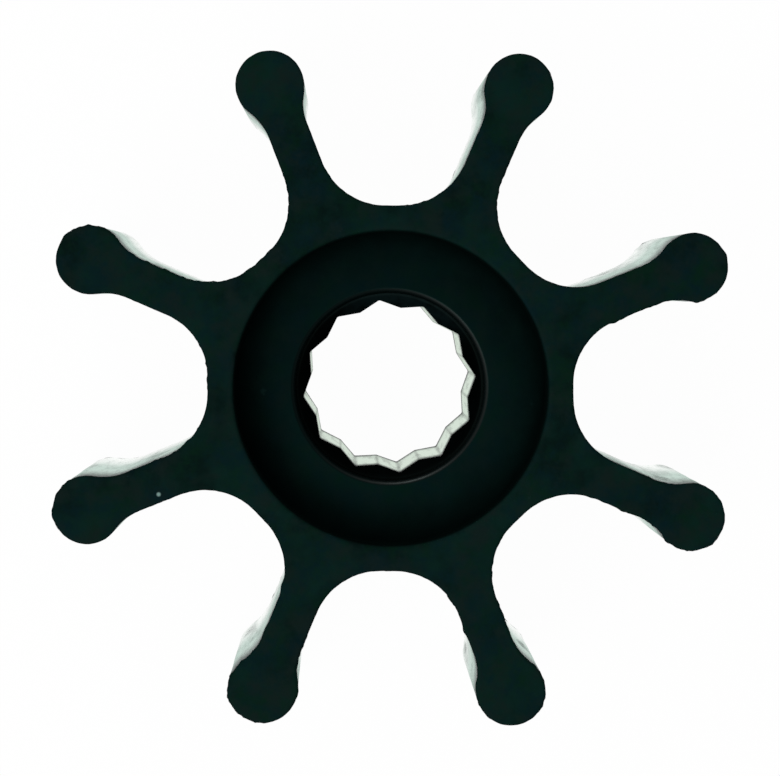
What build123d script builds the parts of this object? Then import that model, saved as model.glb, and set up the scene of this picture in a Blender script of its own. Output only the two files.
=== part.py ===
from build123d import *
import os
from math import cos, hypot, pi, sin, sqrt, tan

# A flexible pump impeller: one rubber moulding with straight vanes, bonded round
# a stiff insert with a 12-point splined bore. Millimetres, +Z along the shaft axis,
# origin at the centre of the lower end face.

# Overall sizes
tip_diameter = 65.0          # circle through the ends of the vane bulbs, uncompressed
axial_length = 50.0

# Vanes
vane_count = 8
vane_thickness = 3.7
bulb_diameter = 6.2          # round bead along each vane's tip
root_fillet = 6.2            # vane to hub
neck_fillet = 5.4            # vane to bulb
outline_chamfer = 0.25       # broken edge round both end faces

# Bore of the insert, which the shaft sets
spline_points = 12
spline_major_diameter = 16.0
spline_depth = 0.7
spline_corner_radius = 0.3
lead_in_clearance = 0.4      # countersunk mouth, outside the spline's points
insert_ledge = 0.7           # flat ring of the insert between its mouth and the lip

# Rubber lip that laps over each end of the insert
lip_thickness = 1.2
lip_lap = 1.9
lip_edge_chamfer = 0.4

# Round recess in each end face, and the hub round it
recess_floor_width = 5.15    # from the lip's edge to the recess wall
recess_depth = 8.3
recess_cove = 2.0            # hollow corner between the recess wall and its floor
recess_mouth_chamfer = 0.3
hub_wall = 2.25              # rubber between the recess and the flats of the hub

# Round grooves along the insert, which lock it in the rubber
key_count = 6
key_radius = 1.2

# A fillet takes at most this share of the straight run that it starts from
fillet_share = 0.46
match_tolerance = 0.01       # two radii this near count as the same

# Radii of the hub, from the shaft outwards
spline_major_radius = spline_major_diameter / 2
spline_minor_radius = spline_major_radius - spline_depth
lead_in_radius = spline_major_radius + lead_in_clearance
lip_bore_radius = lead_in_radius + insert_ledge
insert_radius = lip_bore_radius + lip_lap
recess_radius = lip_bore_radius + recess_floor_width
hub_apothem = recess_radius + hub_wall           # axis to a flat of the hub
cove_radius = min(recess_cove, recess_floor_width * fillet_share)

# Insert along the axis
insert_bottom = recess_depth + lip_thickness
insert_length = axial_length - 2 * insert_bottom

# Vanes
half_pitch = pi / vane_count
vane_start = 180.0 / vane_count                  # degrees, so a gap faces along +X
bulb_radius = bulb_diameter / 2
bulb_reach = tip_diameter / 2 - bulb_radius      # axis to a bulb's centre

# Root fillet: the corner where a vane's side meets a flat of the hub opens at
# 90 degrees plus half the pitch, and the flat's half length sets the most it can take
corner_offset = hub_apothem * tan(half_pitch) - vane_thickness / 2 / cos(half_pitch)
corner_reach = hub_apothem * cos(half_pitch) + corner_offset * sin(half_pitch)
vane_run = bulb_reach - corner_reach             # corner to bulb centre, along the vane
corner_slope = tan((pi / 2 + half_pitch) / 2)
root_run = min(corner_offset * 2 * fillet_share, vane_run * fillet_share)
root_radius = min(root_fillet, root_run * corner_slope)

# Neck fillet: tangent to the vane's side and to the bulb's circle
neck_run = vane_run * fillet_share
bulb_overhang = bulb_radius - vane_thickness / 2
neck_limit = (neck_run**2 - bulb_radius**2 + (vane_thickness / 2) ** 2) / (2 * bulb_overhang)
neck_radius = min(neck_fillet, neck_limit)

lower_end = Plane.XY
upper_end = Plane.XY.offset(axial_length)
mid_plane = Plane.XY.offset(axial_length / 2)

os.makedirs("parts", exist_ok=True)


def ring_levels(part, radius):
    # the circular edges of one radius, grouped from the lowest to the highest
    circles = part.edges().filter_by(GeomType.CIRCLE)
    rings = circles.filter_by(lambda ring: abs(ring.radius - radius) < match_tolerance)
    return rings.group_by(Axis.Z)


# Blank of the insert: its outside alone, which also shapes the cavity in the rubber
with BuildPart() as insert_blank:
    with BuildSketch(Plane.XY.offset(insert_bottom)) as keyed_section:
        Circle(insert_radius)
        with PolarLocations(insert_radius, key_count):
            Circle(key_radius, mode=Mode.SUBTRACT)
    extrude(amount=insert_length)


# Insert: the blank is bored, the bore's mouths are countersunk, then the spline is cut
with BuildPart() as hub_insert:
    add(insert_blank.part)
    with Locations(mid_plane):
        Hole(radius=spline_minor_radius)
    mouths = ring_levels(hub_insert, spline_minor_radius)
    chamfer(mouths[0] + mouths[-1], lead_in_radius - spline_minor_radius)
    with BuildSketch(Plane.XY.offset(insert_bottom)) as spline_section:
        # each point is a kite from the axis, and one point lines up with every other vane
        flank_x = spline_minor_radius * cos(pi / spline_points)
        flank_y = spline_minor_radius * sin(pi / spline_points)
        with PolarLocations(0, spline_points, start_angle=3 * vane_start):
            Polygon(
                (0, 0),
                (flank_x, -flank_y),
                (spline_major_radius, 0),
                (flank_x, flank_y),
                align=None,
            )
        fillet(spline_section.vertices(), spline_corner_radius)
    extrude(amount=insert_length, mode=Mode.SUBTRACT)
hub_insert.part.label = "hub_insert"
export_step(hub_insert.part, "parts/hub_insert.step")


# Rubber: outline of hub and vanes, hollowed at both ends and moulded round the insert
with BuildPart() as rubber_body:
    with BuildSketch(lower_end) as outline:
        RegularPolygon(
            radius=hub_apothem,
            side_count=vane_count,
            major_radius=False,
            rotation=vane_start,
        )
        with PolarLocations(0, vane_count, start_angle=vane_start):
            with Locations((bulb_reach / 2, 0)):
                Rectangle(bulb_reach, vane_thickness)
        root_corners = outline.vertices().group_by(SortBy.DISTANCE)[0]
        fillet(root_corners, root_radius)
        with PolarLocations(bulb_reach, vane_count, start_angle=vane_start):
            Circle(bulb_radius)
        neck_distance = hypot(
            bulb_reach - sqrt(bulb_radius**2 - (vane_thickness / 2) ** 2),
            vane_thickness / 2,
        )
        neck_corners = outline.vertices().filter_by(
            lambda corner: abs(hypot(corner.X, corner.Y) - neck_distance) < match_tolerance
        )
        fillet(neck_corners, neck_radius)
    extrude(amount=axial_length)
    end_faces = rubber_body.faces().filter_by(Axis.Z)
    chamfer(end_faces.edges(), outline_chamfer)

    with Locations(upper_end, -lower_end):
        CounterBoreHole(
            radius=lip_bore_radius,
            counter_bore_radius=recess_radius,
            counter_bore_depth=recess_depth,
            depth=insert_bottom,
        )
    add(insert_blank.part, mode=Mode.SUBTRACT)

    # from the bottom up: lower mouth, lower floor, upper floor, upper mouth
    recess_rings = ring_levels(rubber_body, recess_radius)
    fillet(recess_rings[1] + recess_rings[-2], cove_radius)
    recess_rings = ring_levels(rubber_body, recess_radius)
    chamfer(recess_rings[0] + recess_rings[-1], recess_mouth_chamfer)
    lip_rings = ring_levels(rubber_body, lip_bore_radius)
    chamfer(lip_rings[0] + lip_rings[-1], lip_edge_chamfer)
rubber_body.part.label = "rubber_body"
export_step(rubber_body.part, "parts/rubber_body.step")
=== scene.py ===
import math
import bmesh
import bpy
from mathutils import Matrix, Vector


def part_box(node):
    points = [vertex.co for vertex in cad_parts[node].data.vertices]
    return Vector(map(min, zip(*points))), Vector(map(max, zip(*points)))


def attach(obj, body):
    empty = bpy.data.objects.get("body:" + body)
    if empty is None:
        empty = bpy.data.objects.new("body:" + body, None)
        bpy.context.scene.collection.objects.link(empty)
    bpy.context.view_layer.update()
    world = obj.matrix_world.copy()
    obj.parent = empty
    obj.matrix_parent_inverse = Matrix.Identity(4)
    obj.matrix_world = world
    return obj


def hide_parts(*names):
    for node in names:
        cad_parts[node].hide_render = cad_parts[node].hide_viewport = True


# Flexible pump impeller: a moulded rubber wheel with eight bulb-tipped vanes on a splined
# insert. It stands on a pale floor, +Z up the shaft. Sizes are in metres, and only the lists
# of marks, shifts and section points are in mm, where their comments say so.

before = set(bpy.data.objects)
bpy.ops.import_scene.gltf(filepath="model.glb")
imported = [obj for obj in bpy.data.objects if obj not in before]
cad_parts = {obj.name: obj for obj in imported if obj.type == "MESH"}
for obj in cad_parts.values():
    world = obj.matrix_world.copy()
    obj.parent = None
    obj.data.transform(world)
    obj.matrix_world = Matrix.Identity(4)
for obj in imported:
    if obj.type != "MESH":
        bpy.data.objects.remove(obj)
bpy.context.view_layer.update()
mm = 0.001
rubberLow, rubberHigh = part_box("rubber_body")
insertLow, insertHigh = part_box("hub_insert")
print("frame loaded:", sorted(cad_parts))


class Wire:
    # a shader socket that can stand in an ordinary expression
    def __init__(self, finish, socket):
        self.finish, self.socket = finish, socket

    def math(self, operation, *values):
        settings = {"operation": operation}
        return self.finish.node("ShaderNodeMath", settings, dict(enumerate(values)))["Value"]

    def __add__(self, other):
        return self.math("ADD", self, other)

    def __radd__(self, other):
        return self.math("ADD", other, self)

    def __sub__(self, other):
        return self.math("SUBTRACT", self, other)

    def __rsub__(self, other):
        return self.math("SUBTRACT", other, self)

    def __mul__(self, other):
        return self.math("MULTIPLY", self, other)

    def __rmul__(self, other):
        return self.math("MULTIPLY", other, self)

    def __pow__(self, other):
        return self.math("POWER", self, other)

    def __abs__(self):
        return self.math("ABSOLUTE", self)

    def max(self, other):
        return self.math("MAXIMUM", self, other)

    def min(self, other):
        return self.math("MINIMUM", self, other)

    def step(self, low, high):
        # 0 below low, 1 above high, smooth between
        settings = {"interpolation_type": "SMOOTHSTEP"}
        sockets = {"Value": self, "From Min": low, "From Max": high}
        return self.finish.node("ShaderNodeMapRange", settings, sockets)["Result"]


class Made:
    # a node that was made, whose outputs are read by name or number
    def __init__(self, finish, node):
        self.finish, self.node = finish, node

    def __getitem__(self, key):
        return Wire(self.finish, self.node.outputs[key])


class Finish:
    # a material under construction, with the places that its patterns are laid out by
    def __init__(self, name):
        self.material = bpy.data.materials.new(name)
        self.material.use_nodes = True
        self.tree = self.material.node_tree
        self.tree.nodes.clear()

    def node(self, kind, settings=None, sockets=None):
        node = self.tree.nodes.new(kind)
        for key, value in (settings or {}).items():
            setattr(node, key, value)
        for key, value in (sockets or {}).items():
            if isinstance(value, Wire):
                self.tree.links.new(value.socket, node.inputs[key])
            else:
                node.inputs[key].default_value = value
        return Made(self, node)

    def survey(self):
        self.place = self.node("ShaderNodeTexCoord")["Object"]
        split = self.node("ShaderNodeSeparateXYZ", None, {0: self.place})
        self.x, self.y, self.height = split["X"], split["Y"], split["Z"]
        self.radius = (self.x * self.x + self.y * self.y) ** 0.5
        normal = self.node("ShaderNodeNewGeometry")["Normal"]
        self.upward = abs(self.node("ShaderNodeSeparateXYZ", None, {0: normal})["Z"])

    def noise(self, size, detail=2.0, roughness=0.5, seed=0.0, where=None):
        # size is the width of one feature
        sockets = {"Vector": where or self.place, "W": seed, "Scale": 1 / size,
                   "Detail": detail, "Roughness": roughness}
        return self.node("ShaderNodeTexNoise", {"noise_dimensions": "4D"}, sockets)["Fac"]

    def streaks(self, width, length, detail):
        # noise drawn out along the shaft axis
        stretch = (1 / width, 1 / width, 1 / length)
        drawn = self.node("ShaderNodeMapping", None, {"Vector": self.place, "Scale": stretch})
        return self.noise(1.0, detail, where=drawn["Vector"])

    def specks(self, size, width, seed, core=0.4, patch=1.7, patchRange=(0.5, 0.62)):
        # sparse round dots, one to a cell and missing from most cells; width and patch are
        # in cells, and core is the share of a dot that is solid
        sockets = {"Vector": self.place, "W": seed, "Scale": 1 / size}
        cells = self.node("ShaderNodeTexVoronoi", {"voronoi_dimensions": "4D"}, sockets)
        dot = 1 - cells["Distance"].step(width * core, width)
        return dot * self.noise(size * patch, seed=seed).step(*patchRange)

    def blend(self, share, first, second):
        # colours are mixed here, because a Math node would turn them grey
        settings = {"data_type": "RGBA"}
        return self.node("ShaderNodeMix", settings, {0: share, 6: first, 7: second})[2]

    def spot(self, centre, radius, tall=1.0, core=0.3):
        # 1 in the core, fading to 0 at the radius, or at that many radii up or down
        squash = Vector((1.0, 1.0, 1 / tall))
        flat = self.node("ShaderNodeVectorMath", {"operation": "MULTIPLY"},
                         {0: self.place, 1: squash})["Vector"]
        away = self.node("ShaderNodeVectorMath", {"operation": "DISTANCE"},
                         {0: flat, 1: Vector(centre) * squash})["Value"]
        return 1 - away.step(radius * core, radius)

    def spots(self, marks, tall=1.0):
        # several spots together, from a list of ((x, y, z), radius) in mm
        return sum(self.spot(Vector(centre) * mm, radius * mm, tall) for centre, radius in marks)

    def bump(self, height, strength, distance):
        sockets = {"Strength": strength, "Distance": distance, "Height": height}
        return self.node("ShaderNodeBump", None, sockets)["Normal"]

    def grazing(self, start=0.84, full=0.95):
        # 0 until about 9 degrees from edge on, 1 within about 3
        facing = self.node("ShaderNodeLayerWeight", None, {"Blend": 0.5})["Facing"]
        return facing.step(start, full)

    def glazed(self, base, share, tint, roughness):
        # covers a share of the surface with a tinted gloss
        gloss = self.node("ShaderNodeBsdfGlossy", None, {"Color": tint, "Roughness": roughness})
        mixed = self.node("ShaderNodeMixShader", None, {0: share, 1: base, 2: gloss["BSDF"]})
        return mixed["Shader"]

    def output(self, surface):
        self.node("ShaderNodeOutputMaterial", None, {"Surface": surface})
        return self.material


def rgb(red, green, blue):
    return (red, green, blue, 1.0)


# upright share of a surface's normal, between which a side wall gives way to an end face
steepRange = (0.2, 0.5)


# matt on the end faces, glossier on the side walls, dark and matt in the recesses, with painted
# shade deepening towards each recess wall and over the lips
rubberLook = {
    "face": rgb(0.0016, 0.0112, 0.0086),
    "faceDark": rgb(0.0002, 0.0024, 0.0020),
    "faceGreen": rgb(0.0008, 0.0100, 0.0036),
    "faceBlue": rgb(0.0006, 0.0064, 0.0100),
    "faceGrey": rgb(0.0042, 0.0078, 0.0070),
    # painted shade: the recess colour goes from its floor's own darker tone to this near-black
    # towards the recess wall and its cove
    "recessWall": rgb(0.0001, 0.0010, 0.0011),
    "recessFloor": rgb(0.0013, 0.0078, 0.0076),
    # painted shade: the lip's rounded edge is coloured darker than the recess floor all round
    "lip": rgb(0.0004, 0.0028, 0.0028),
    "scuff": rgb(0.004, 0.013, 0.012),
    "speck": rgb(0.020, 0.045, 0.040),
    "chip": rgb(0.18, 0.28, 0.26),
    "specularTint": rgb(0.4, 1.0, 0.9),
    "specularLevel": 0.05,
    "faceRoughness": 0.6,
    "wallRoughness": 0.38,
    "glossRoughness": 0.10,
    "recessRoughness": 0.8,
    "lipRoughness": 0.33,
    "lipGlossRoughness": 0.42,
    "mottleSize": 6.0 * mm,          # patterns: the width of one feature, the part of the
    "mottleRange": (0.36, 0.62),     # noise that shows, and how strongly
    "tintSize": 2.6 * mm,
    "tintRange": (0.42, 0.68),
    "tintShare": 0.8,
    "speckSize": 2.3 * mm,
    "speckWidth": 0.075,             # in cells
    "speckShare": 0.5,
    "scuffRange": (0.4, 0.6),
    "smudgeWidth": 2.6 * mm,
    "smudgeLength": 30.0 * mm,
    "smudgeRange": (0.46, 0.7),
    "smudgeShare": 0.4,
    "dragWidth": 0.5 * mm,
    "dragLength": 7.0 * mm,
    "dragRange": (0.45, 0.7),
    "dragShare": 0.22,
    "stainTall": 8.0,                # in radii
    "stainRange": (0.3, 0.6),
    "stainShare": 0.7,
    "grainSize": 0.22 * mm,
    "reliefStrength": 0.25,
    "reliefHeight": 0.02 * mm,
    "wallSmoothness": 0.9,           # share of the relief that the side walls lose
    "mottleRoughness": 0.12,         # how far the patterns swing the roughness
    "grainRoughness": 0.1,
    "nearTint": rgb(0.58, 0.70, 0.64),
    "nearDepths": (-3.0 * mm, 17.0 * mm),    # between which a side wall's glosses grow
    "farTint": rgb(0.97, 0.99, 0.97),
    "farDepths": (20.0 * mm, 47.0 * mm),
    "recessEdge": (14.2 * mm, 14.4 * mm),    # radii between which each finish gives way
    # radii over which the painted shade deepens from the recess floor to the recess wall
    "recessShade": (9.2 * mm, 14.2 * mm),
    "recessShare": 0.8,
    "floorFade": 0.4,                # share of the tints that the recess floor loses
    # radii inside which the lip carries its painted shade
    "lipEdge": (9.0 * mm, 9.2 * mm),
    "lipShine": (8.85 * mm, 9.1 * mm),
    "lipGloss": 0.024,
    "lipUnworn": 0.25,               # share of the lip's gloss away from its worn side
    "wornWay": (0.9, -0.4),
    "wornRange": (-6.0 * mm, 4.0 * mm),
}

# pale rubbed places on the upper side as ((x, y, z), radius), in mm
scuffs = [
    ((-11.6, -0.6, 41.7), 0.45),
    ((13.2, -1.4, 41.7), 0.4),
    ((12.5, -9.8, 50.0), 0.3),
]

# small bright chips in the upper end face, listed the same way
chips = [
    ((-20.8, -9.8, 50.0), 0.26),
]

# dull marks on the side walls, listed the same way
stains = [
    ((13.0, -24.6, 27.0), 1.0),
    ((-13.2, -24.9, 9.0), 1.1),
    ((8.2, -26.4, 6.0), 0.9),
    ((25.4, -8.2, 36.0), 1.1),
    ((27.7, -8.2, 5.0), 1.2),
    ((21.0, 10.7, 9.0), 1.0),
    ((20.3, 10.4, 5.0), 0.5),
]


def rubberFinish():
    look = rubberLook
    finish = Finish("satin moulded rubber")
    finish.survey()

    # where each part of the finish shows
    depth = rubberHigh.z - finish.height
    inRecess = 1 - finish.radius.step(*look["recessEdge"])
    # painted shade mask: 0 near the lip, 1 at the recess wall
    outer = finish.radius.step(*look["recessShade"])
    wall = (1 - finish.upward.step(*steepRange)) * (1 - inRecess)
    # the lip: glossier, and coloured with painted shade
    lip = 1 - finish.radius.step(*look["lipEdge"])
    # the tints and specks fade out towards the recess wall, so the painted shade there stays dark
    clear = 1 - inRecess * (look["floorFade"] + outer * (1 - look["floorFade"]))

    mottle = finish.noise(look["mottleSize"], detail=5.0, roughness=0.65)
    grain = finish.noise(look["grainSize"], detail=3.0, roughness=0.6)
    colour = finish.blend(mottle.step(*look["mottleRange"]), look["faceDark"], look["face"])
    # painted shade: the recess darkens from its floor colour towards its wall
    shade = finish.blend(outer, look["recessFloor"], look["recessWall"])
    colour = finish.blend(inRecess * look["recessShare"], colour, shade)
    for tint, seed in (("faceGreen", 1.0), ("faceBlue", 2.0), ("faceGrey", 5.0)):
        patch = finish.noise(look["tintSize"], detail=4.0, roughness=0.7, seed=seed)
        patch = patch.step(*look["tintRange"]) * clear
        colour = finish.blend(patch * look["tintShare"], colour, look[tint])
    speck = finish.specks(look["speckSize"], look["speckWidth"], seed=3.0) * clear
    colour = finish.blend(speck * look["speckShare"], colour, look["speck"])
    # painted shade over the lip's rounded edge
    colour = finish.blend(lip, colour, look["lip"])
    broken = finish.noise(look["grainSize"] * 2, detail=3.0, roughness=0.6, seed=4.0)
    scuffed = finish.spots(scuffs) * broken.step(*look["scuffRange"])
    colour = finish.blend(scuffed.min(1.0), colour, look["scuff"])
    colour = finish.blend(finish.spots(chips).min(1.0), colour, look["chip"])

    # the gloss of the side walls, and what dulls it
    smudge = finish.streaks(look["smudgeWidth"], look["smudgeLength"], detail=3.0)
    drag = finish.streaks(look["dragWidth"], look["dragLength"], detail=3.0)
    broken = finish.noise(look["tintSize"] / 4, detail=3.0, roughness=0.7, seed=6.0)
    stain = finish.spots(stains, look["stainTall"]) * broken.step(*look["stainRange"])
    glaze = wall * (1 - smudge.step(*look["smudgeRange"]) * look["smudgeShare"])
    glaze = glaze * (1 - drag.step(*look["dragRange"]) * look["dragShare"])
    glaze = glaze * (1 - stain.min(1.0) * look["stainShare"])

    rough = look["faceRoughness"] + (mottle - 0.5) * look["mottleRoughness"]
    rough = rough + (grain - 0.5) * look["grainRoughness"]
    rough = rough - glaze * (look["faceRoughness"] - look["wallRoughness"])
    rough = rough + inRecess * (look["recessRoughness"] - look["faceRoughness"])
    rough = rough - lip * (look["recessRoughness"] - look["lipRoughness"])
    relief = grain * 0.5 + finish.noise(look["grainSize"] * 4) * 0.5
    relief = relief * (1 - wall * look["wallSmoothness"])
    shader = finish.node("ShaderNodeBsdfPrincipled", None, {
        "Base Color": colour, "Roughness": rough,
        "Normal": finish.bump(relief, look["reliefStrength"], look["reliefHeight"]),
        "Specular IOR Level": look["specularLevel"], "Specular Tint": look["specularTint"]})

    wornX, wornY = look["wornWay"]
    worn = (finish.x * wornX + finish.y * wornY).step(*look["wornRange"])
    least = look["lipGloss"] * look["lipUnworn"]
    shine = least + worn * (look["lipGloss"] - least)
    shine = shine * (1 - finish.radius.step(*look["lipShine"]))
    grazing = finish.grazing()
    near = grazing * glaze * depth.step(*look["nearDepths"])
    far = grazing * glaze * depth.step(*look["farDepths"])
    surface = finish.glazed(shader["BSDF"], shine, look["farTint"], look["lipGlossRoughness"])
    surface = finish.glazed(surface, near, look["nearTint"], look["glossRoughness"])
    surface = finish.glazed(surface, far, look["farTint"], look["glossRoughness"])
    return finish.output(surface)


# black and matt on the ends, drawn lengthwise and glossy in the bore, dull along its corners, with
# a painted sheen on the upper end ring's +Y side
insertLook = {
    "base": rgb(0.0002, 0.0005, 0.0005),
    "pale": rgb(0.0010, 0.0024, 0.0026),
    # painted sheen: a paler patch standing in for light on the +Y side of the upper end ring
    "dust": rgb(0.0030, 0.0075, 0.0080),
    "specularTint": rgb(0.6, 1.0, 0.9),
    "specularLevel": 0.03,
    "grazingTint": rgb(0.68, 0.77, 0.68),
    "faceRoughness": 0.5,
    "boreRoughness": 0.35,
    "glossRoughness": 0.08,
    "cornerDull": 0.4,
    "cornerWidth": math.radians(2.0),
    "mottleSize": 1.1 * mm,
    "mottleRange": (0.5, 0.8),
    "mottleShare": 0.6,
    "mottleRoughness": 0.15,
    "streakWidth": 0.16 * mm,
    "streakLength": 14 * mm,
    "streakRange": (0.55, 0.8),
    "streakShare": 0.3,
    "smudgeWidth": 0.7 * mm,
    "smudgeRange": (0.46, 0.7),
    "smudgeShare": 0.35,
    "reliefStrength": 0.3,
    "reliefHeight": 0.015 * mm,
    "wallSmoothness": 0.9,
    "boreRange": (0.5 * mm, 8.0 * mm),       # from a mouth, where the bore's gloss grows
    # centre, size and mottle range of that painted sheen
    "dustPlace": (1.5 * mm, 9.5 * mm, 40.5 * mm),
    "dustSize": 9.0 * mm,
    "dustRange": (0.2, 0.6),
}


def insertFinish():
    look = insertLook
    finish = Finish("black moulded composite")
    finish.survey()
    fromEnd = (finish.height - insertLow.z).min(insertHigh.z - finish.height)
    wall = (1 - finish.upward.step(*steepRange)) * fromEnd.step(*look["boreRange"])
    halfTooth = math.pi / insertSizes["splinePoints"]
    angle = finish.y.math("ARCTAN2", finish.y, finish.x) + (math.tau - insertSizes["splineTurn"])
    corner = 1 - angle.math("PINGPONG", angle, halfTooth / 2).step(0.0, look["cornerWidth"])

    mottle = finish.noise(look["mottleSize"], detail=4.0, roughness=0.65)
    streak = finish.streaks(look["streakWidth"], look["streakLength"], detail=2.0)
    pale = mottle.step(*look["mottleRange"]) * look["mottleShare"]
    pale = pale + streak.step(*look["streakRange"]) * look["streakShare"]
    colour = finish.blend(pale, look["base"], look["pale"])
    # painted sheen on the +Y side of the upper end ring, broken up by the mottle
    sheenPatch = finish.spot(look["dustPlace"], look["dustSize"]) * mottle.step(*look["dustRange"])
    colour = finish.blend(sheenPatch * (1 - wall), colour, look["dust"])

    smudge = finish.streaks(look["smudgeWidth"], look["streakLength"], detail=3.0)
    glaze = wall * (1 - corner * look["cornerDull"])
    glaze = glaze * (1 - smudge.step(*look["smudgeRange"]) * look["smudgeShare"])
    rough = look["faceRoughness"] + (mottle - 0.5) * look["mottleRoughness"]
    rough = rough - glaze * (look["faceRoughness"] - look["boreRoughness"])
    relief = (mottle * 0.6 + streak * 0.4) * (1 - wall * look["wallSmoothness"])
    shader = finish.node("ShaderNodeBsdfPrincipled", None, {
        "Base Color": colour, "Roughness": rough,
        "Normal": finish.bump(relief, look["reliefStrength"], look["reliefHeight"]),
        "Specular IOR Level": look["specularLevel"], "Specular Tint": look["specularTint"]})
    surface = finish.glazed(shader["BSDF"], finish.grazing() * glaze, look["grazingTint"],
                            look["glossRoughness"])
    return finish.output(surface)


weld = 0.002 * mm        # copies of a sector are joined where their edges are this near

# where ragged flash grows, in the noise of its small and its wide pattern
flashLook = {
    "from": 0.45,
    "gain": 4.0,
    "patchRange": (0.45, 0.6),
    "betweenPatches": 0.25,          # share of the flash that is left there
}


def ringTree():
    # repeats a sector round the axis and welds the copies, then adds wobble and flash; the
    # copies are realized first of all, because welding needs real vertices
    tree = bpy.data.node_groups.new("repeat round the axis", "GeometryNodeTree")
    face = tree.interface
    face.new_socket("Geometry", in_out="INPUT", socket_type="NodeSocketGeometry")
    face.new_socket("Count", in_out="INPUT", socket_type="NodeSocketInt")
    names = ["First Angle", "Weld", "Wobble", "Wobble Size", "Flash", "Flash Size",
             "Flash Patch", "Seed"]
    for name in names:
        face.new_socket(name, in_out="INPUT", socket_type="NodeSocketFloat")
    face.new_socket("Finish", in_out="INPUT", socket_type="NodeSocketMaterial")
    face.new_socket("Geometry", in_out="OUTPUT", socket_type="NodeSocketGeometry")

    def add(kind, settings=None, sockets=None):
        node = tree.nodes.new(kind)
        for key, value in (settings or {}).items():
            setattr(node, key, value)
        for key, value in (sockets or {}).items():
            if isinstance(value, bpy.types.NodeSocket):
                tree.links.new(value, node.inputs[key])
            else:
                node.inputs[key].default_value = value
        return node

    def calc(operation, first, second=0.0):
        return add("ShaderNodeMath", {"operation": operation}, {0: first, 1: second}).outputs[0]

    given = add("NodeGroupInput").outputs
    index = add("GeometryNodeInputIndex").outputs[0]
    turn = calc("ADD", given["First Angle"],
                calc("MULTIPLY", index, calc("DIVIDE", 2 * math.pi, given["Count"])))
    angles = add("ShaderNodeCombineXYZ", None, {"Z": turn}).outputs[0]
    points = add("GeometryNodePoints", None, {"Count": given["Count"]}).outputs[0]
    copies = add("GeometryNodeInstanceOnPoints", None,
                 {"Points": points, "Instance": given["Geometry"], "Rotation": angles}).outputs[0]
    solid = add("GeometryNodeRealizeInstances", None, {"Geometry": copies}).outputs[0]
    welded = add("GeometryNodeMergeByDistance", None,
                 {"Geometry": solid, "Distance": given["Weld"]}).outputs[0]

    # a slow sideways wobble, on the rows marked free
    place = add("GeometryNodeInputPosition").outputs[0]
    slow = add("ShaderNodeTexNoise", {"noise_dimensions": "4D"},
               {"Vector": place, "W": given["Seed"], "Detail": 1.0,
                "Scale": calc("DIVIDE", 1.0, given["Wobble Size"])}).outputs["Color"]
    centred = add("ShaderNodeVectorMath", {"operation": "SUBTRACT"},
                  {0: slow, 1: (0.5, 0.5, 0.5)}).outputs[0]
    level = add("ShaderNodeVectorMath", {"operation": "MULTIPLY"},
                {0: centred, 1: (2.0, 2.0, 0.0)}).outputs[0]
    free = add("GeometryNodeInputNamedAttribute", {"data_type": "FLOAT"},
               {"Name": "free"}).outputs["Attribute"]
    shift = add("ShaderNodeVectorMath", {"operation": "SCALE"},
                {0: level, "Scale": calc("MULTIPLY", free, given["Wobble"])}).outputs[0]
    wobbled = add("GeometryNodeSetPosition", None,
                  {"Geometry": welded, "Offset": shift}).outputs[0]

    # ragged flash: the marked rows grow outwards in the plane of the end face
    normal = add("GeometryNodeInputNormal").outputs[0]
    flat = add("ShaderNodeVectorMath", {"operation": "MULTIPLY"},
               {0: normal, 1: (1.0, 1.0, 0.0)}).outputs[0]
    outward = add("ShaderNodeVectorMath", {"operation": "NORMALIZE"}, {0: flat}).outputs[0]
    ragged = add("ShaderNodeTexNoise", {"noise_dimensions": "4D"},
                 {"Vector": place, "W": given["Seed"], "Detail": 3.0,
                  "Scale": calc("DIVIDE", 1.0, given["Flash Size"])}).outputs["Fac"]
    raised = calc("SUBTRACT", ragged, flashLook["from"])
    grown = calc("MAXIMUM", calc("MULTIPLY", raised, flashLook["gain"]), 0.0)
    patchy = add("ShaderNodeTexNoise", {"noise_dimensions": "4D"},
                 {"Vector": place, "W": given["Seed"], "Detail": 0.0,
                  "Scale": calc("DIVIDE", 1.0, given["Flash Patch"])}).outputs["Fac"]
    patchFrom, patchFull = flashLook["patchRange"]
    patch = add("ShaderNodeMapRange", {"interpolation_type": "SMOOTHSTEP"},
                {"Value": patchy, "From Min": patchFrom, "From Max": patchFull,
                 "To Min": flashLook["betweenPatches"]}).outputs[0]
    grown = calc("MULTIPLY", grown, patch)
    marked = add("GeometryNodeInputNamedAttribute", {"data_type": "FLOAT"},
                 {"Name": "flash"}).outputs["Attribute"]
    reach = calc("MULTIPLY", calc("MULTIPLY", marked, grown), given["Flash"])
    push = add("ShaderNodeVectorMath", {"operation": "SCALE"},
               {0: outward, "Scale": reach}).outputs[0]
    flashed = add("GeometryNodeSetPosition", None,
                  {"Geometry": wobbled, "Offset": push}).outputs[0]
    smooth = add("GeometryNodeSetShadeSmooth", None, {"Geometry": flashed}).outputs[0]
    coated = add("GeometryNodeSetMaterial", None,
                 {"Geometry": smooth, "Material": given["Finish"]}).outputs[0]
    add("NodeGroupOutput", None, {"Geometry": coated})
    return tree


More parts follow.
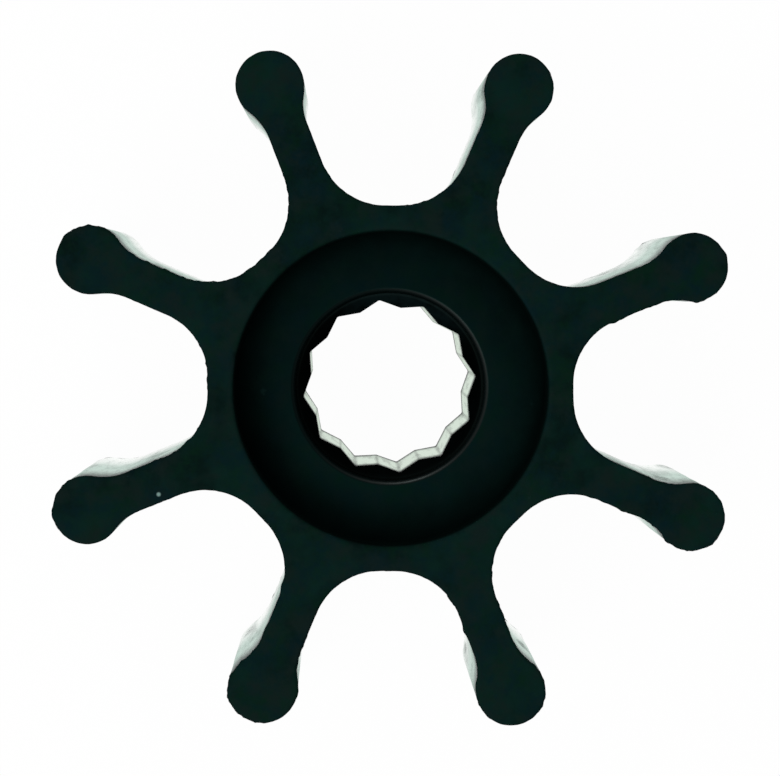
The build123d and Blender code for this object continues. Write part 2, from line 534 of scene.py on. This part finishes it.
def ringPiece(name, sector, tree, values):
    # runs the tree on one sector and keeps the result as a plain closed mesh
    holder = bpy.data.objects.new(name + "Sector", sector)
    bpy.context.scene.collection.objects.link(holder)
    modifier = holder.modifiers.new("ring", "NODES")
    modifier.node_group = tree
    for item in tree.interface.items_tree:
        if item.in_out == "INPUT" and item.name in values:
            modifier[item.identifier] = values[item.name]
    holder.update_tag()
    graph = bpy.context.evaluated_depsgraph_get()
    mesh = bpy.data.meshes.new_from_object(holder.evaluated_get(graph))
    bpy.data.objects.remove(holder)
    mesh.name = name
    piece = bpy.data.objects.new(name, mesh)
    bpy.context.scene.collection.objects.link(piece)
    shell = bmesh.new()
    shell.from_mesh(mesh)
    bmesh.ops.recalc_face_normals(shell, faces=shell.faces)
    openEdges = sum(1 for edge in shell.edges if not edge.is_manifold)
    shell.to_mesh(mesh)
    triangles = sum(len(face.verts) - 2 for face in shell.faces)
    shell.free()
    print(name, "triangles", triangles, "open edges", openEdges)
    return piece


class Sector:
    # vertices and faces of one sector, with two per-vertex marks for the ring tree
    def __init__(self):
        self.points, self.faces, self.free, self.flash = [], [], [], []

    def row(self, places, free=0.0, flash=0.0):
        # adds a row of (x, y, z) points and returns their numbers
        first = len(self.points)
        self.points += [tuple(place) for place in places]
        self.free += [free] * len(places)
        self.flash += [flash] * len(places)
        return list(range(first, len(self.points)))

    def strip(self, near, far):
        # quads between two rows; seen from outside, far lies to the left of near
        for k in range(len(near) - 1):
            quad = [near[k], near[k + 1], far[k + 1], far[k]]
            corners = [point for i, point in enumerate(quad) if point != quad[i - 1]]
            if len(corners) > 2:
                self.faces.append(corners)

    def mesh(self, name):
        mesh = bpy.data.meshes.new(name)
        mesh.from_pydata(self.points, [], self.faces)
        for label, values in (("free", self.free), ("flash", self.flash)):
            mark = mesh.attributes.new(label, "FLOAT", "POINT")
            mark.data.foreach_set("value", values)
        return mesh


def quarter(steps):
    # angles of a quarter turn, both ends included
    return [math.pi / 2 * k / steps for k in range(steps + 1)]


insertSizes = {
    "splinePoints": 12,
    "splineMajor": 8.0 * mm,         # radii
    "splineMinor": 7.3 * mm,
    "splineCorner": 0.3 * mm,
    "leadIn": 8.4 * mm,
    "keys": 6,
    "keyRadius": 1.2 * mm,
    "splineTurn": math.radians(7.5),
    "edge": 0.1 * mm,                # width of a rounded edge
    "ringRows": (9.3 * mm, 8.85 * mm),
    "boreRows": 14,
    "arcSteps": 5,
    "flankSteps": 8,
}


def keyedRadius(angle):
    # outside of the insert along one ray, with its round key grooves
    size = insertSizes
    outer = insertHigh.y
    pitch = 2 * math.pi / size["keys"]
    off = (angle + pitch / 2) % pitch - pitch / 2
    across = size["keyRadius"] ** 2 - (outer * math.sin(off)) ** 2
    if across <= 0:
        return outer
    return outer * math.cos(off) - math.sqrt(across)


def splineTooth():
    # one point of the bore, from root to root through the point, as (radius, angle)
    size = insertSizes
    half = math.pi / size["splinePoints"]
    tip = Vector((size["splineMajor"], 0))
    root = Vector((math.cos(half), math.sin(half))) * size["splineMinor"]
    flank = (root - tip).normalized()
    corner = size["splineCorner"]

    def arc(apex, axis, lean):
        # rounded half corner: from the apex's centre line out to the flank
        slope = axis.angle(lean)
        centre = apex + axis * (corner / math.sin(slope))
        start = -axis
        sweep = math.pi / 2 - slope
        side = 1 if axis.cross(lean) > 0 else -1
        places = []
        for k in range(size["arcSteps"] + 1):
            turned = sweep * k / size["arcSteps"] * -side
            ray = start.copy()
            ray.rotate(Matrix.Rotation(turned, 2))
            places.append(centre + corner * ray)
        return places

    outside = arc(tip, Vector((-1, 0)), flank)
    inside = arc(root, Vector((math.cos(half), math.sin(half))), -flank)
    start, end = outside[-1], inside[-1]
    steps = size["flankSteps"]
    straight = [start.lerp(end, k / steps) for k in range(1, steps)]
    line = outside + straight + inside[::-1]
    upper = [(p.length, math.atan2(p.y, p.x)) for p in line]
    lower = [(r, -a) for r, a in upper[:0:-1]]
    return lower + upper


def insertSector():
    # two points of the bore with one key groove, 60 degrees
    size = insertSizes
    tooth = splineTooth()
    pitch = 2 * math.pi / size["splinePoints"]
    bore = []
    for k in range(size["splinePoints"] // size["keys"]):
        shifted = [(r, a + size["splineTurn"] + k * pitch) for r, a in tooth]
        bore += shifted if k == 0 else shifted[1:]
    top, bottom = insertHigh.z, insertLow.z
    lead, edge = size["leadIn"], size["edge"]
    sector = Sector()

    def ring(radii, heights):
        return sector.row([(r * math.cos(a), r * math.sin(a), z)
                           for (_, a), r, z in zip(bore, radii, heights)])

    # sections of the mouth's two rounded edges as (outward, up), in edge widths: the rim of
    # its cone, then the scalloped line where the cone meets the bore
    rim = [(1.6, 0.0), (1.0, 0.0), (0.3, -0.09), (-0.2, -0.4), (-0.7, -0.72)]
    scallop = [(1.0, 1.0), (0.3, 0.12), (0.06, -0.35), (0.0, -1.1)]
    star = [r for r, _ in bore]
    keyed = [keyedRadius(a) for _, a in bore]
    level = [top] * len(bore)
    arris = [top - (lead - r) for r in star]
    upper = [(keyed, level)]        # (radii, heights) from the outer corner to the bore's wall
    upper += [([radius] * len(bore), level) for radius in size["ringRows"]]
    upper += [([lead + out * edge] * len(bore), [top + up * edge] * len(bore)) for out, up in rim]
    rimOut, arrisOut = rim[-1][0] * edge, scallop[0][0] * edge
    for share in (0.33, 0.66):
        radii = [lead + rimOut + (r + arrisOut - lead - rimOut) * share for r in star]
        upper.append((radii, [top - (lead - r) for r in radii]))
    upper += [([r + out * edge for r in star], [z + up * edge for z in arris])
              for out, up in scallop]
    rows = [ring(radii, heights) for radii, heights in upper]
    wallTop = upper[-1][1]
    wallBottom = [bottom + top - z for z in wallTop]
    for k in range(1, size["boreRows"]):
        share = k / size["boreRows"]
        rows.append(ring(star, [a + (b - a) * share for a, b in zip(wallTop, wallBottom)]))
    for radii, heights in reversed(upper):
        rows.append(ring(radii, [bottom + top - z for z in heights]))
    rows.append(rows[0])
    for near, far in zip(rows, rows[1:]):
        sector.strip(near, far)
    return sector.mesh("insertSector")


rubberSizes = {
    "vanes": 8,
    "vaneThickness": 3.7 * mm,
    "bulbRadius": 3.1 * mm,
    "rootFillet": 6.2 * mm,
    "neckFillet": 5.4 * mm,
    "hubApothem": 16.5 * mm,
    "recessRadius": 14.15 * mm,
    "recessDepth": 8.3 * mm,
    "recessCove": 2.0 * mm,
    "mouthRound": 0.35 * mm,
    "lipRadius": 8.6 * mm,
    "lipEdge": 0.55 * mm,
    "step": 0.19 * mm,               # along the outline
    "across": 6,                     # quads across a vane
    "hubRows": 5,
    "wallRows": 10,
    "coveSteps": 8,
    "edgeSteps": 4,
    "rootShare": 0.36,               # of the root fillet, that the rows across a vane cover
    "wobble": 0.05 * mm,
    "wobbleSize": 6.0 * mm,
    "flash": 0.12 * mm,
    "flashSize": 0.6 * mm,
    "flashPatch": 8.0 * mm,
    "lowFlash": 0.45,                # share of the flash along the lower edge
    "seed": 3.0,
    "leanFrom": 18.0 * mm,           # radii between which a vane comes to follow its bulb
    "leanFull": 26.0 * mm,
    "swellFrom": 6.0 * mm,           # from a bulb's centre, where its swelling grows
    "swellFull": 3.0 * mm,
    "markDepth": 0.8 * mm,           # how far down the bumps and dents fade out
}


def halfOutline():
    # half a vane and half a gap, from the bulb's tip to the middle of the gap, as
    # (x, y, outward x, outward y) with the vane along +X
    size = rubberSizes
    halfPitch = math.pi / size["vanes"]
    bulb, neck, root = size["bulbRadius"], size["neckFillet"], size["rootFillet"]
    side = size["vaneThickness"] / 2
    bulbReach = (rubberHigh.x - bulb) / math.cos(halfPitch)
    neckX = bulbReach - math.sqrt((bulb + neck) ** 2 - (side + neck) ** 2)
    flatway = Vector((math.cos(halfPitch), math.sin(halfPitch)))
    rootX = (size["hubApothem"] + root - (side + root) * flatway.y) / flatway.x
    bulbSweep = math.atan2(side + neck, neckX - bulbReach)
    neckSweep = bulbSweep - math.pi / 2
    rootSweep = math.pi / 2 - halfPitch
    flatStart = Vector((rootX, side + root)) - root * flatway
    flatEnd = flatway * size["hubApothem"]
    along = Vector((-flatway.y, flatway.x))
    flatLength = (flatEnd - flatStart).length
    lengths = [bulb * bulbSweep, neck * neckSweep, neckX - rootX, root * rootSweep, flatLength]
    total = sum(lengths)
    steps = round(total / size["step"])
    places = []
    for k in range(steps + 1):
        left = total * k / steps
        part = 0
        while part < len(lengths) - 1 and left > lengths[part]:
            left -= lengths[part]
            part += 1
        if part == 0:
            turn = left / bulb
            nx, ny = math.cos(turn), math.sin(turn)
            x, y = bulbReach + bulb * nx, bulb * ny
        elif part == 1:
            turn = bulbSweep - left / neck
            nx, ny = math.cos(turn), math.sin(turn)
            x, y = neckX - neck * nx, side + neck - neck * ny
        elif part == 2:
            nx, ny = 0.0, 1.0
            x, y = neckX - left, side
        elif part == 3:
            turn = math.pi / 2 - left / root
            nx, ny = math.cos(turn), math.sin(turn)
            x, y = rootX - root * nx, side + root - root * ny
        else:
            nx, ny = flatway
            x, y = flatStart + along * left
        places.append((x, y, nx, ny))
    rootIndex = round((sum(lengths[:3]) + lengths[3] * size["rootShare"]) / total * steps)
    return places, rootIndex


def rubberSector():
    size = rubberSizes
    top, bottom = rubberHigh.z, rubberLow.z
    half, base = halfOutline()
    outline = [(x, -y, nx, -ny) for x, y, nx, ny in half[:0:-1]] + half
    middle = len(half) - 1
    halfPitch = math.pi / size["vanes"]
    sector = Sector()

    def around(offset, height, flash=0.0):
        return sector.row([(x + nx * offset, y + ny * offset, height)
                           for x, y, nx, ny in outline], 1.0, flash)

    # section of the edge as (outward, depth below the end face, share of the flash), in mm
    edge = [(-0.34, 0.0, 0), (-0.22, 0.0, 0), (-0.13, 0.015, 0), (-0.05, 0.05, 0.0),
            (-0.012, 0.09, 1), (-0.004, 0.125, 1), (0.0, 0.19, 0), (0.0, 0.34, 0)]
    upper = [around(offset * mm, top - depth * mm, flash) for offset, depth, flash in edge]
    wallHigh, wallLow = top - edge[-1][1] * mm, bottom + edge[-1][1] * mm
    walls = [around(0.0, wallHigh + (wallLow - wallHigh) * k / size["wallRows"])
             for k in range(1, size["wallRows"])]
    lower = [around(offset * mm, bottom + depth * mm, flash * size["lowFlash"])
             for offset, depth, flash in edge[::-1]]
    rows = upper + walls + lower
    for near, far in zip(rows, rows[1:]):
        sector.strip(far, near)

    # radial section from the mouth of the upper recess to the insert, as (radius, height)
    recess, cove, lip = size["recessRadius"], size["recessCove"], size["lipRadius"]
    mouth, lipEdge = size["mouthRound"], size["lipEdge"]
    floor = top - size["recessDepth"]
    seat = insertHigh.z
    section = [(recess + 1.8 * mouth, top), (recess + mouth, top)]
    section += [(recess + mouth * (1 - math.sin(t)), top - mouth * (1 - math.cos(t)))
                for t in quarter(size["edgeSteps"])[1:]]
    section += [(recess, top - depth * mm) for depth in (1.2, 3.6)]
    section += [(recess, floor + cove + 0.2 * mm)]
    section += [(recess - cove * (1 - math.cos(t)), floor + cove * (1 - math.sin(t)))
                for t in quarter(size["coveSteps"])]
    section += [(recess - cove - step * mm, floor) for step in (0.25, 1.1, 2.0)]
    section += [(lip + lipEdge + 0.12 * mm, floor)]
    section += [(lip + lipEdge * (1 - math.sin(t)), floor - lipEdge * (1 - math.cos(t)))
                for t in quarter(size["edgeSteps"])]
    section += [(lip, floor - lipEdge - 0.15 * mm), (lip, seat + 0.06 * mm)]
    section += [(lip + 0.05 * mm, seat)]
    count = size["across"] + 2 * (middle - base)
    angles = [halfPitch * (2 * k / count - 1) for k in range(count + 1)]

    def ring(radius, height):
        return sector.row([(radius * math.cos(a), radius * math.sin(a), height) for a in angles])

    high = [ring(r, z) for r, z in section]
    seatHigh = ring(insertHigh.y, seat)
    seatLow = ring(insertHigh.y, bottom + top - seat)
    low = [ring(r, bottom + top - z) for r, z in section]
    rings = high + [seatHigh, seatLow] + low[::-1]
    for near, far in zip(rings, rings[1:]):
        sector.strip(near, far)

    # flat end faces: across each vane, then from the vane's root to the mouth
    def endFace(rim, mouthRow, height, flip):
        def join(near, far):
            sector.strip(*((far, near) if flip else (near, far)))

        steps = size["across"]

        def across(k):
            left, right = rim[middle - k], rim[middle + k]
            x0, y0, _ = sector.points[left]
            _, y1, _ = sector.points[right]
            inner = sector.row([(x0, y0 + (y1 - y0) * j / steps, height)
                                for j in range(1, steps)], 1.0)
            return [left] + inner + [right]

        last = across(1)
        join(last, [rim[middle]] * len(last))
        for k in range(2, base + 1):
            row = across(k)
            join(row, last)
            last = row
        outer = rim[:middle - base] + last + rim[middle + base + 1:]
        last = outer
        for k in range(1, size["hubRows"]):
            share = k / size["hubRows"]
            places = [Vector(sector.points[a]).lerp(Vector(sector.points[b]), share)
                      for a, b in zip(outer, mouthRow)]
            row = sector.row(places, 1.0 - share)
            join(row, last)
            last = row
        join(mouthRow, last)

    endFace(upper[0], high[0], top, False)
    endFace(lower[-1], low[0], bottom, True)
    return sector.mesh("vaneSector")


def pressKeys(piece):
    # gives the seat inside the rubber the insert's key grooves
    near = 0.01 * mm
    for vertex in piece.data.vertices:
        radius = vertex.co.xy.length
        inSeat = insertLow.z - weld < vertex.co.z < insertHigh.z + weld
        if inSeat and abs(radius - insertHigh.y) < near:
            share = keyedRadius(math.atan2(vertex.co.y, vertex.co.x)) / radius
            vertex.co.xy *= share


# how far each vane's bulb is from its ideal place, counted from +X towards +Y, as
# (outward, sideways, extra radius), in mm
bulbShifts = [
    (0.05, 0, 0), (0.05, 0, 0), (0.05, -0.05, 0), (0.05, 0, 0),
    (0.10, 0, 0), (0.05, 0.05, 0.05), (0, -0.05, 0.05), (0.10, 0, -0.05),
]


def shareOf(value, low, full):
    # 0 at low, 1 at full, whichever of the two is greater
    return min(max((value - low) / (full - low), 0.0), 1.0)


def smoothShare(value, low, full):
    share = shareOf(value, low, full)
    return share * share * (3 - 2 * share)


def shiftBulbs(piece):
    # leans and stretches the vanes, more and more towards their tips
    size = rubberSizes
    pitch = 2 * math.pi / size["vanes"]
    reach = (rubberHigh.x - size["bulbRadius"]) / math.cos(pitch / 2)
    for vertex in piece.data.vertices:
        place = vertex.co.xy
        if place.length < size["leanFrom"]:
            continue
        number = int(math.atan2(place.y, place.x) % (2 * math.pi) // pitch)
        outward, sideways, swell = (value * mm for value in bulbShifts[number])
        middle = (number + 0.5) * pitch
        along = Vector((math.cos(middle), math.sin(middle)))
        across = Vector((-along.y, along.x))
        lean = smoothShare(place.length, size["leanFrom"], size["leanFull"])
        fromBulb = place - along * reach
        swollen = shareOf(fromBulb.length, size["swellFrom"], size["swellFull"])
        place = place + (along * outward + across * sideways) * lean
        vertex.co.xy = place + fromBulb * (swollen * swell / size["bulbRadius"])


# small bumps and dents along the upper edges as (x, y, outward, reach), in mm
edgeMarks = [
    (20.1, 6.3, 0.20, 0.35), (20.8, 6.6, 0.12, 0.4), (23.8, 7.9, 0.06, 0.3),
    (27.6, 8.1, 0.14, 0.5), (30.0, 12.4, 0.11, 0.4), (24.6, 13.0, 0.09, 0.5),
    (8.2, 26.6, 0.13, 0.7), (-8.2, 26.4, 0.10, 0.5),
    (-29.5, 13.3, 0.11, 0.4), (-30.2, -11.9, 0.12, 0.5), (-9.5, -17.9, 0.18, 0.5),
    (-11.1, -22.0, 0.10, 0.6), (-13.8, -25.4, -0.09, 0.6), (-14.2, -28.2, 0.13, 0.9),
    (-8.2, -27.4, 0.11, 0.7), (7.0, -21.8, 0.19, 0.4), (8.2, -26.6, 0.11, 0.5),
    (18.2, -9.7, 0.08, 0.3), (19.3, -10.1, 0.06, 0.25), (21.1, -10.75, 0.14, 0.5),
    (25.1, -13.5, 0.08, 0.3), (29.1, -13.7, 0.10, 0.4), (-13.9, 2.8, -0.16, 0.35),
]


def markEdges(piece):
    # pushes the upper edge out or in along its own normals, less and less further down
    leastSideways = 0.3      # a normal with less than this belongs to the end face
    reaches = 2.5            # past which a mark is too faint to matter
    normals = [vertex.normal.copy() for vertex in piece.data.vertices]
    for vertex, normal in zip(piece.data.vertices, normals):
        depth = (rubberHigh.z - vertex.co.z) / rubberSizes["markDepth"]
        outward = normal.xy
        if depth > 1 or outward.length < leastSideways:
            continue
        outward.normalize()
        place = vertex.co.xy
        for x, y, push, reach in edgeMarks:
            away = (place - Vector((x, y)) * mm).length / (reach * mm)
            if away < reaches:
                vertex.co.xy += outward * (push * mm * math.exp(-away * away) * (1 - depth))


def makeRubber(tree):
    size = rubberSizes
    piece = ringPiece("rubber", rubberSector(), tree, {
        "Count": size["vanes"], "First Angle": math.pi / size["vanes"], "Weld": weld,
        "Wobble": size["wobble"], "Wobble Size": size["wobbleSize"],
        "Flash": size["flash"], "Flash Size": size["flashSize"], "Flash Patch": size["flashPatch"],
        "Seed": size["seed"], "Finish": rubberFinish()})
    pressKeys(piece)
    shiftBulbs(piece)
    markEdges(piece)
    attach(piece, "root")
    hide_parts("rubber_body")


def makeInsert(tree):
    size = insertSizes
    piece = ringPiece("insert", insertSector(), tree, {
        "Count": size["keys"], "First Angle": 0.0, "Weld": weld,
        "Wobble": 0.0, "Wobble Size": 1.0, "Flash": 0.0, "Flash Size": 1.0, "Flash Patch": 1.0,
        "Seed": 1.0, "Finish": insertFinish()})
    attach(piece, "root")
    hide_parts("hub_insert")


tree = ringTree()
makeRubber(tree)
makeInsert(tree)


studio = {
    "flatRadius": 0.35,              # the floor's middle, one fan of triangles
    "floorRadius": 1.7,
    "floorSides": 96,
    "rimHeight": 0.5,
    "rimSteps": 10,
    "floorColour": rgb(0.95, 0.95, 0.95),
    "whiteShare": 0.98,
    "worldLevel": 0.30,
}


def floorFinish():
    finish = Finish("pale studio floor")
    path = finish.node("ShaderNodeLightPath")
    seen = path["Is Camera Ray"].max(path["Is Glossy Ray"]).max(path["Is Transmission Ray"])
    matt = finish.node("ShaderNodeBsdfDiffuse", None, {"Color": studio["floorColour"]})["BSDF"]
    glow = finish.node("ShaderNodeEmission", None,
                       {"Color": rgb(1, 1, 1), "Strength": 1.0})["Emission"]
    mixed = finish.node("ShaderNodeMixShader", None,
                        {0: seen * studio["whiteShare"], 1: matt, 2: glow})
    return finish.output(mixed["Shader"])


def makeFloor():
    # a wide dish: flat under the piece, with a low upturned rim
    radius, rim = studio["floorRadius"], studio["rimHeight"]
    profile = [(studio["flatRadius"], 0), (radius, 0)]
    profile += [(radius + rim * math.sin(t), rim * (1 - math.cos(t)))
                for t in quarter(studio["rimSteps"])[1:]]
    sides = studio["floorSides"]
    turns = [2 * math.pi * k / sides for k in range(sides)]
    points = [(0, 0, 0)]
    points += [(r * math.cos(turn), r * math.sin(turn), z) for r, z in profile for turn in turns]
    faces = [(0, 1 + k, 1 + (k + 1) % sides) for k in range(sides)]
    for level in range(len(profile) - 1):
        a, b = 1 + level * sides, 1 + (level + 1) * sides
        faces += [(a + k, b + k, b + (k + 1) % sides, a + (k + 1) % sides) for k in range(sides)]
    mesh = bpy.data.meshes.new("floor")
    mesh.from_pydata(points, [], faces)
    mesh.shade_smooth()
    mesh.materials.append(floorFinish())
    floor = bpy.data.objects.new("floor", mesh)
    bpy.context.scene.collection.objects.link(floor)


# each lamp's angles in degrees, then metres and watts
lamps = {
    "key": {"azimuth": 228, "elevation": 72, "distance": 1.2, "size": 0.60, "power": 8.0},
    "top": {"azimuth": 105, "elevation": 36, "distance": 1.2, "size": 0.30, "power": 2.8},
}


def pointAt(thing, place, target):
    thing.location = place
    thing.rotation_mode = "QUATERNION"
    thing.rotation_quaternion = (Vector(target) - Vector(place)).to_track_quat("-Z", "Y")


def makeLight():
    world = bpy.data.worlds.new("plain studio")
    bpy.context.scene.world = world
    world.use_nodes = True
    back = world.node_tree.nodes["Background"].inputs
    back["Color"].default_value = rgb(1, 1, 1)
    back["Strength"].default_value = studio["worldLevel"]
    for name, lamp in lamps.items():
        data = bpy.data.lights.new(name, "AREA")
        data.shape, data.size, data.energy = "DISK", lamp["size"], lamp["power"]
        light = bpy.data.objects.new(name, data)
        bpy.context.scene.collection.objects.link(light)
        turn, rise = math.radians(lamp["azimuth"]), math.radians(lamp["elevation"])
        level = math.cos(rise)
        way = Vector((math.cos(turn) * level, math.sin(turn) * level, math.sin(rise)))
        pointAt(light, way * lamp["distance"], (0, 0, rubberHigh.z))


cameraPlace = {
    "place": (-4.425 * mm, 8.90 * mm, 510.0 * mm),
    "target": (-0.055 * mm, 0.047 * mm, 50.0 * mm),
    "lens": 235.5,                   # in mm, like the sensor's width
    "sensorWidth": 36.0,
    "clip": (0.02, 20.0),
    "roll": math.radians(0.71),
}


def makeCamera():
    data = bpy.data.cameras.new("camera")
    data.lens, data.sensor_width = cameraPlace["lens"], cameraPlace["sensorWidth"]
    data.clip_start, data.clip_end = cameraPlace["clip"]
    camera = bpy.data.objects.new("camera", data)
    bpy.context.scene.collection.objects.link(camera)
    place, target = Vector(cameraPlace["place"]), Vector(cameraPlace["target"])
    back = (place - target).normalized()
    level = Vector((0, 1, 0)).cross(back).normalized()
    roll = cameraPlace["roll"]
    right = math.cos(roll) * level + math.sin(roll) * back.cross(level)
    up = back.cross(right)
    turn = Matrix((right, up, back)).transposed().to_4x4()
    camera.matrix_world = Matrix.Translation(place) @ turn
    bpy.context.scene.camera = camera


makeFloor()
makeLight()
makeCamera()
bpy.context.scene.view_settings.view_transform = "Standard"
print("studio ready")
